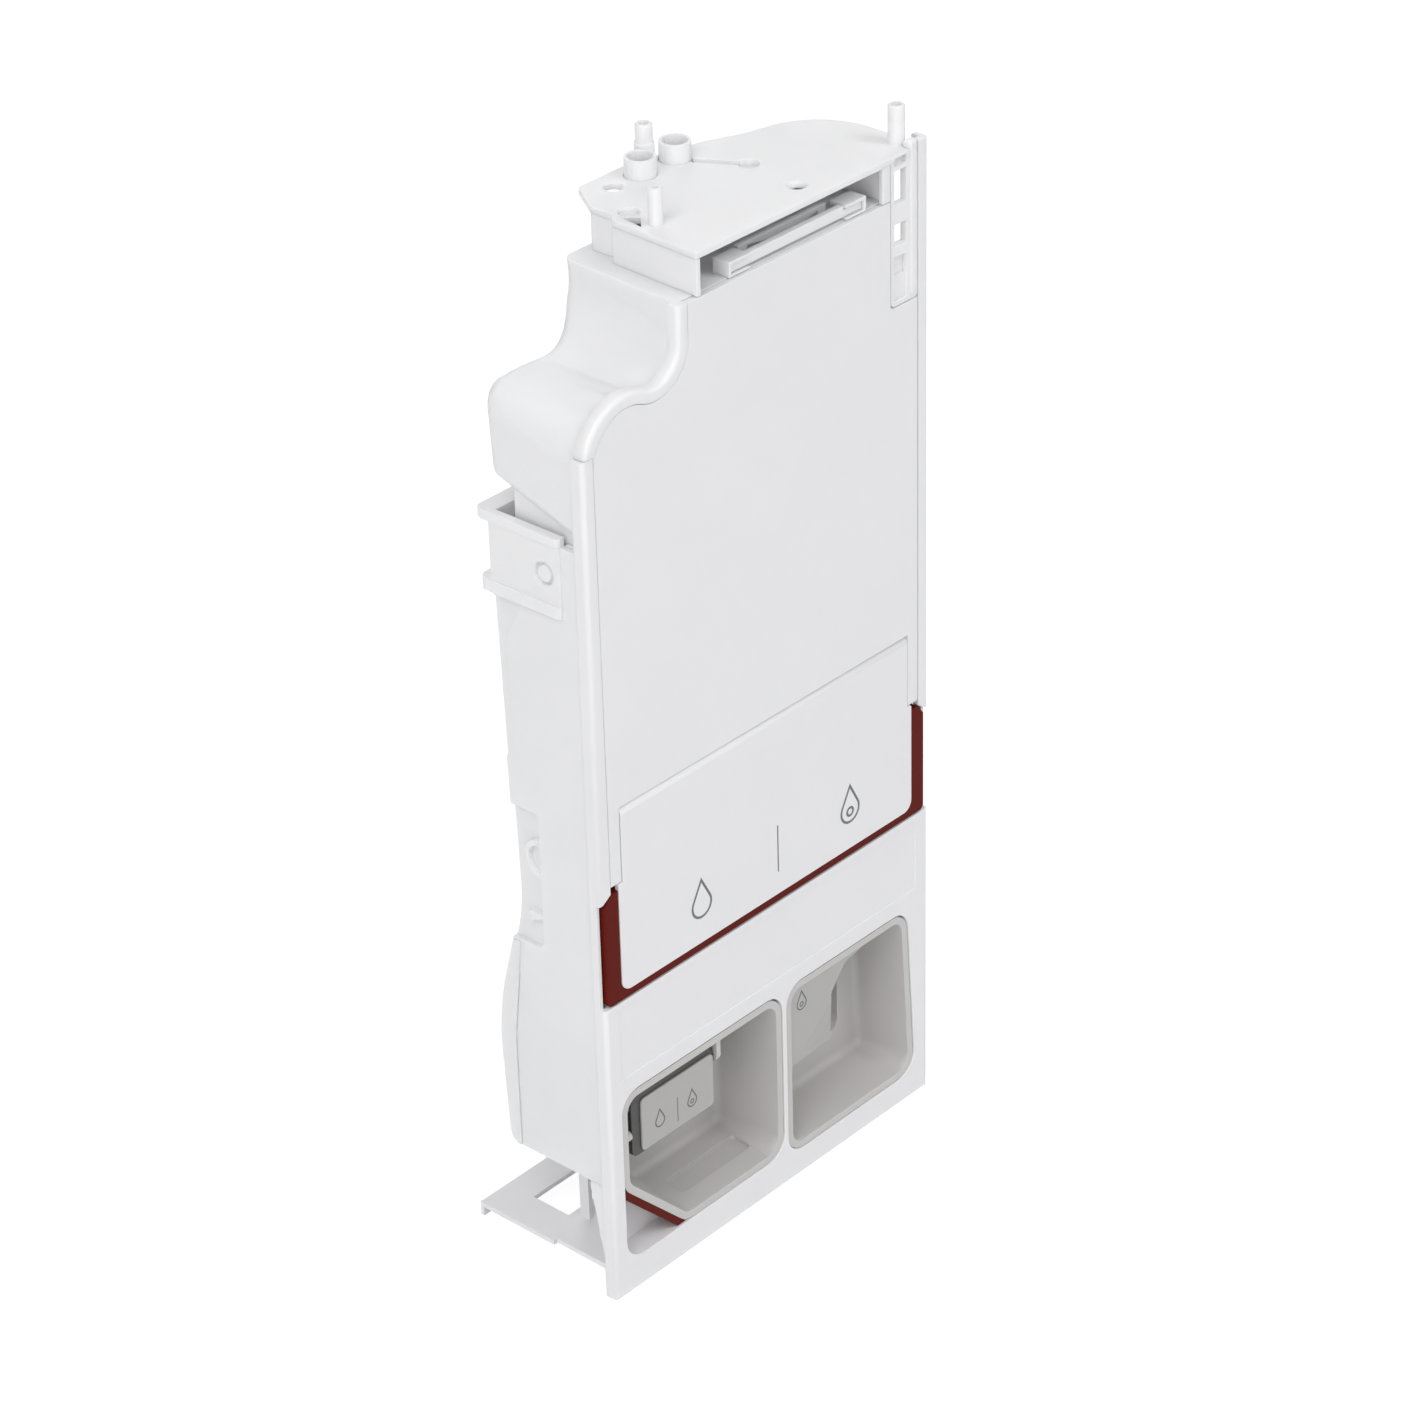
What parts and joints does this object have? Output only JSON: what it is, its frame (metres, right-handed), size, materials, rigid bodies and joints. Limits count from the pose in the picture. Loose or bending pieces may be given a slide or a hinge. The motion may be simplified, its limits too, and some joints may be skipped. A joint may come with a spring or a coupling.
{
  "type": "detergent dispenser drawer",
  "caption": "Washing machine detergent drawer with a dosing tank under a hinged filling flap, two manual cups, outlet valves and guide pins",
  "frame": {"origin": "centre of the bounding box on the plane the drawer stands on, its front end down", "axes": "+Z points to the connector end, -Y is the face that is on top in use, +X is to the right when looking at the face"},
  "size_m": [0.18, 0.071, 0.4146],
  "materials": {
    "white_plastic": "satin injection-moulded polypropylene",
    "red_plastic": "satin dark red",
    "grey_plastic": "satin warm grey",
    "pale_grey_plastic": "satin pale grey",
    "dark_plastic": "satin dark grey",
    "seal_rubber": "soft black",
    "spring_steel": "drawn wire"
  },
  "bodies": {
    "drawer": {"drawer_frame": "white_plastic", "tray_shell": "white_plastic", "tray_rear_cover": "white_plastic", "tank_body": "white_plastic", "tank_cover": "white_plastic", "rear_head": "white_plastic", "outlet_sockets": "white_plastic", "head_skirt": "white_plastic", "guide_column": "white_plastic", "bar_guides": "white_plastic", "cup_grip": "red_plastic", "manual_cup": "grey_plastic", "softener_cup": "grey_plastic", "siphon_cover": "pale_grey_plastic", "port_seals": "seal_rubber", "valve_seal_detergent": "seal_rubber", "valve_seal_softener": "seal_rubber", "release_spring": "spring_steel", "valve_spring_detergent": "spring_steel", "valve_spring_softener": "spring_steel"},
    "flap": {"flap_panel": "white_plastic", "flap_carrier": "red_plastic", "flap_seal": "seal_rubber"},
    "liquid_flap": {"liquid_flap": "dark_plastic", "liquid_flap_label": "pale_grey_plastic"},
    "release_bar": {"release_bar": "white_plastic"},
    "valve_detergent": {"valve_poppet_detergent": "white_plastic"},
    "valve_softener": {"valve_poppet_softener": "white_plastic"}
  },
  "joints": [
    {"name": "flap_hinge", "type": "hinge", "parent": "drawer", "child": "flap", "pos_m": [0, -0.0325, 0.204], "axis": [-1, 0, 0], "range_deg": [0, 90]},
    {"name": "liquid_flap_hinge", "type": "hinge", "parent": "drawer", "child": "liquid_flap", "pos_m": [-0.0528, -0.0299, 0.0765], "axis": [1, 0, 0], "range_deg": [0, 80]},
    {"name": "release_bar_slide", "type": "slide", "parent": "drawer", "child": "release_bar", "axis": [0, 1, 0], "range_m": [0, 0.0025], "stiffness_N_per_m": 150, "springref_m": -0.003, "deforming": ["release_spring"]},
    {"name": "valve_detergent_slide", "type": "slide", "parent": "drawer", "child": "valve_detergent", "axis": [0, 0, -1], "range_m": [0, 0.003], "stiffness_N_per_m": 60, "springref_m": -0.004, "deforming": ["valve_spring_detergent"]},
    {"name": "valve_softener_slide", "type": "slide", "parent": "drawer", "child": "valve_softener", "axis": [0, 0, -1], "range_m": [0, 0.003], "stiffness_N_per_m": 60, "springref_m": -0.004, "deforming": ["valve_spring_softener"]}
  ]
}
